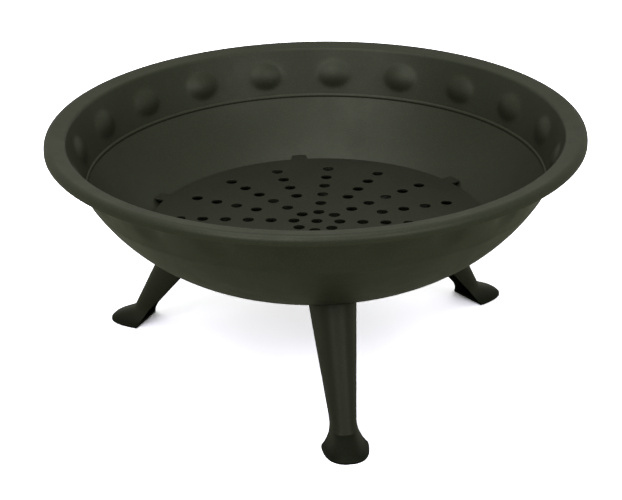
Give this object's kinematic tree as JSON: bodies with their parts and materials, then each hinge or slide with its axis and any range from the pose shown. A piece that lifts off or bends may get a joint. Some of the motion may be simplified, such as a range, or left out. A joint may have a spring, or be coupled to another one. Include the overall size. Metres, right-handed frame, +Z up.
{
  "type": "garden brazier",
  "caption": "Round pressed-steel fire bowl with a rim band that has a wide lip and a ring of domed bosses, a lift-out perforated charcoal grate, and splayed channel legs with flared feet on sole plates.",
  "frame": {"origin": "on the ground under the middle of the bowl, which is the bottom centre of the whole brazier's box", "axes": "+Z up along the bowl's axis; -Y towards the front leg; +X to the right seen from the front"},
  "size_m": [0.603, 0.603, 0.2779],
  "materials": {
    "bowl_paint": "semi-gloss heat-resistant black paint with a fine speckle",
    "grate_paint": "satin heat-resistant black paint",
    "leg_paint": "satin heat-resistant black paint",
    "fastener_steel": "plated steel darkened by heat and soot"
  },
  "bodies": {
    "brazier": {"fire_bowl": "bowl_paint", "rim_band": "bowl_paint", "front_leg": "leg_paint", "right_leg": "leg_paint", "left_leg": "leg_paint", "front_leg_sole": "leg_paint", "right_leg_sole": "leg_paint", "left_leg_sole": "leg_paint", "front_leg_inner_bolt": "fastener_steel", "front_leg_inner_washer": "fastener_steel", "front_leg_inner_nut": "fastener_steel", "front_leg_outer_bolt": "fastener_steel", "front_leg_outer_washer": "fastener_steel", "front_leg_outer_nut": "fastener_steel", "right_leg_inner_bolt": "fastener_steel", "right_leg_inner_washer": "fastener_steel", "right_leg_inner_nut": "fastener_steel", "right_leg_outer_bolt": "fastener_steel", "right_leg_outer_washer": "fastener_steel", "right_leg_outer_nut": "fastener_steel", "left_leg_inner_bolt": "fastener_steel", "left_leg_inner_washer": "fastener_steel", "left_leg_inner_nut": "fastener_steel", "left_leg_outer_bolt": "fastener_steel", "left_leg_outer_washer": "fastener_steel", "left_leg_outer_nut": "fastener_steel"},
    "grate": {"charcoal_grate": "grate_paint"}
  },
  "joints": [
    {"name": "grate_lift", "type": "slide", "parent": "brazier", "child": "grate", "axis": [0, 0, 1], "range_m": [0, 0.2]}
  ]
}
